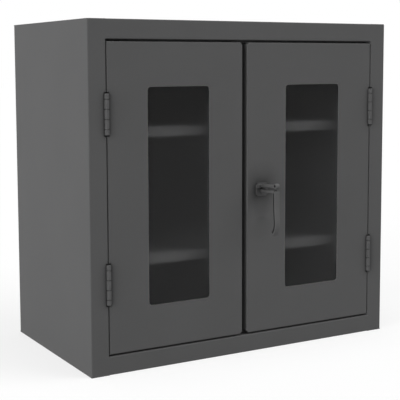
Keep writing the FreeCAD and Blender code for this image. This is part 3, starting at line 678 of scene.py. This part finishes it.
def pane_fixings(side):
    """Washer, nut and stud end at each of a door's pane fixings."""
    nut_radius = NUT_FLATS / 2 / math.cos(math.pi / 6)
    nut_end = WASHER_THICKNESS + NUT_HEIGHT
    stud_start = nut_end - NUT_CHAMFER
    builder = bmesh.new()
    for low, high in loose_boxes(side + "_pane_nuts"):
        middle = (low + high) / 2
        middle.y = low.y
        stud_end = high.y - low.y
        washer = [(0, 0), (WASHER_RADIUS, 0), (WASHER_RADIUS, WASHER_THICKNESS), (0, WASHER_THICKNESS)]
        nut = [(0, WASHER_THICKNESS), (nut_radius, WASHER_THICKNESS), (nut_radius, nut_end - NUT_CHAMFER),
               (nut_radius - NUT_CHAMFER, nut_end), (0, nut_end)]
        stud = [(0, stud_start), (STUD_RADIUS, stud_start), (STUD_RADIUS, stud_end - STUD_CHAMFER),
                (STUD_RADIUS - STUD_CHAMFER, stud_end), (0, stud_end)]
        for profile, sides in ((washer, 36), (nut, 6), (stud, 24)):
            turned(builder, profile, middle, "Y", sides)
    bmesh.ops.recalc_face_normals(builder, faces=builder.faces)
    made = piece_from(builder, side + "_pane_fixings", side + "_door", "zinc_steel")
    smooth_by_angle(made)
    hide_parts(side + "_pane_nuts")


def rubber_pads():
    """Moulded rubber bumpers with rounded edges."""
    builder = bmesh.new()
    for low, high in loose_boxes("stop_bumpers"):
        depth = high.y - low.y
        add_block(builder, low, high, min(BUMPER_ROUNDING, depth * BUMPER_ROUNDING_SHARE), segments=4)
    bmesh.ops.recalc_face_normals(builder, faces=builder.faces)
    made = piece_from(builder, "stop_bumpers_moulded", "cabinet", "rubber")
    smooth_by_angle(made)
    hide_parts("stop_bumpers")


def dress_nodes():
    """Gives each CAD node the material of its slot, or the paint with painted shade that its place asks for.
    """
    own_paint = {}
    for side in ("left", "right"):
        for name in ("_door_panel", "_side_panel"):
            own_paint[side + name] = "front_paint_with_painted_shade"
        for name in ("_pane_retainer_hinge_side", "_pane_retainer_free_side"):
            own_paint[side + name] = "retainer_paint_with_painted_shade"
    for part in frame["record"]["subparts"]:
        paint = own_paint.get(part["node"], part["material_slot"])
        for material_slot in frame["nodes"][part["node"]].material_slots:
            material_slot.material = materials[paint]


def floor():
    """Pale floor that shows white to the camera but keeps a soft shadow."""
    builder = bmesh.new()
    bmesh.ops.create_grid(builder, x_segments=1, y_segments=1, size=FLOOR_SIZE / 2)
    mesh = bpy.data.meshes.new("floor")
    builder.to_mesh(mesh)
    builder.free()
    made = bpy.data.objects.new("floor", mesh)
    made.location.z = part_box("bottom_panel")[0].z
    bpy.context.scene.collection.objects.link(made)
    material, tree = new_material("floor_white")
    seen = seen_directly(tree)
    matt = add_node(tree, "BsdfDiffuse", None,
                    Color=mapped(tree, seen, 0, 1, FLOOR_BOUNCE_COLOUR, FLOOR_SEEN_COLOUR))
    white = add_node(tree, "Emission", None, Color=shade(WHITE), Strength=1.0)
    share = calculated(tree, "MULTIPLY", seen, FLOOR_OWN_WHITE)
    surface = mixed_shader(tree, share, matt.outputs["BSDF"], white.outputs["Emission"])
    add_node(tree, "OutputMaterial", None, Surface=surface)
    mesh.materials.append(material)


def seen_directly(tree):
    """Socket that is 1 for rays from the camera, from gloss and through glass."""
    path = add_node(tree, "LightPath").outputs
    camera_or_gloss = calculated(tree, "MAXIMUM", path["Is Camera Ray"], path["Is Glossy Ray"])
    return calculated(tree, "MAXIMUM", camera_or_gloss, path["Is Transmission Ray"])


def sky():
    """White surroundings: plain white where they are seen, and a softer level as light."""
    world = bpy.data.worlds.new("studio")
    world.use_nodes = True
    tree = world.node_tree
    tree.nodes.clear()
    dome = add_node(tree, "Background", None, Color=shade(WHITE), Strength=DOME_STRENGTH)
    white = add_node(tree, "Background", None, Color=shade(WHITE), Strength=1.0)
    surface = mixed_shader(tree, seen_directly(tree), dome.outputs["Background"], white.outputs["Background"])
    add_node(tree, "OutputWorld", None, Surface=surface)
    bpy.context.scene.world = world


def sun(name, strength, azimuth, elevation, spread):
    """Soft sun. Azimuth 0 is in front of the doors, and 90 is on the side of the right door's hinges."""
    light = bpy.data.lights.new(name, "SUN")
    light.energy = strength
    light.angle = math.radians(spread)
    made = bpy.data.objects.new(name, light)
    made.rotation_euler = (math.radians(90 - elevation), 0, math.radians(azimuth))
    bpy.context.scene.collection.objects.link(made)


def camera():
    """Camera at the photograph's place, turned by its yaw, pitch and roll."""
    data = bpy.data.cameras.new("camera")
    data.lens = CAMERA_LENS
    data.sensor_width = SENSOR_WIDTH
    data.shift_y = CAMERA_SHIFT
    data.clip_end = FARTHEST_SEEN
    made = bpy.data.objects.new("camera", data)
    bpy.context.scene.collection.objects.link(made)
    yaw, pitch, roll = (math.radians(angle) for angle in (CAMERA_YAW, CAMERA_PITCH, CAMERA_ROLL))
    turn = Matrix.Rotation(-yaw, 4, "Z") @ Matrix.Rotation(math.pi / 2 - pitch, 4, "X")
    made.matrix_world = Matrix.Translation(CAMERA_PLACE) @ turn @ Matrix.Rotation(-roll, 4, "Z")
    bpy.context.scene.camera = made


materials = {
    "grey_paint": coated("grey_paint", PAINT_COLOUR, SHEET_PAINT),
    # The front, retainer, hinge and latch paints are darkened by painted shade near other surfaces.
    "front_paint_with_painted_shade": coated("front_paint_with_painted_shade", PAINT_COLOUR, SHEET_PAINT, FRONT_PAINTED_SHADE, front_only=True),
    "retainer_paint_with_painted_shade": coated("retainer_paint_with_painted_shade", PAINT_COLOUR, SHEET_PAINT, RETAINER_PAINTED_SHADE),
    "hinge_paint_with_painted_shade": coated("hinge_paint_with_painted_shade", PAINT_COLOUR, SHEET_PAINT, HINGE_PAINTED_SHADE),
    "latch_paint": coated("latch_paint", CAST_COLOUR, CAST_PAINT, LATCH_PAINTED_SHADE),
    "zinc_steel": zinc_plate(),
    "clear_plastic": hazy_pane(),
    "rubber": black_rubber(),
}
dress_nodes()
latch_plate()
lever()
for door_side, away in (("left", -1), ("right", 1)):
    hinge_leaves(door_side, "frame", "cabinet", away, (0, 2, 4))
    hinge_leaves(door_side, "door", door_side + "_door", -away, (1, 3))
    pane_fixings(door_side)
rubber_pads()
floor()
sky()
for sun_name, sun_settings in SUNS.items():
    sun(sun_name, **sun_settings)
camera()
bpy.context.scene.view_settings.view_transform = "Standard"
